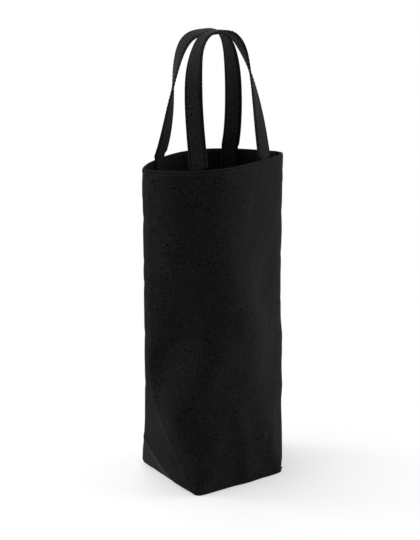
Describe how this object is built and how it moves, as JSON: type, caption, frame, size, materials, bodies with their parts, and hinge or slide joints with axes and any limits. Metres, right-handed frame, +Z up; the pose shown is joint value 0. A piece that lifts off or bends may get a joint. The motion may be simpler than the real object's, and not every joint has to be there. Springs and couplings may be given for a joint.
{
  "type": "bottle carrier bag",
  "caption": "Tall canvas bag for one bottle, with a boxed rectangular base, a pointed oval mouth, hemmed rim and twisted strap handles that swing about the rim.",
  "frame": {"origin": "on the floor, under the middle of the rectangular base", "axes": "+Z up through the mouth, X across the front from side seam to side seam, -Y towards the front panel"},
  "size_m": [0.131, 0.088, 0.3744],
  "materials": {
    "canvas": "matt black plain-weave cotton canvas",
    "strap": "matt black folded canvas strap, edge stitched"
  },
  "bodies": {
    "bag": {"front_panel": "canvas", "rear_panel": "canvas", "front_hem": "canvas", "rear_hem": "canvas", "left_side_seam": "canvas", "right_side_seam": "canvas", "base_seam": "canvas", "left_corner_seam": "canvas", "right_corner_seam": "canvas", "front_strap_left_end": "strap", "front_strap_right_end": "strap", "rear_strap_left_end": "strap", "rear_strap_right_end": "strap"},
    "front_handle": {"front_handle": "strap"},
    "rear_handle": {"rear_handle": "strap"}
  },
  "joints": [
    {"name": "front_handle_swing", "type": "hinge", "parent": "bag", "child": "front_handle", "pos_m": [0, -0.0342, 0.2705], "axis": [1, 0, 0], "range_deg": [0, 180]},
    {"name": "rear_handle_swing", "type": "hinge", "parent": "bag", "child": "rear_handle", "pos_m": [0, 0.0342, 0.2705], "axis": [-1, 0, 0], "range_deg": [0, 180]}
  ]
}
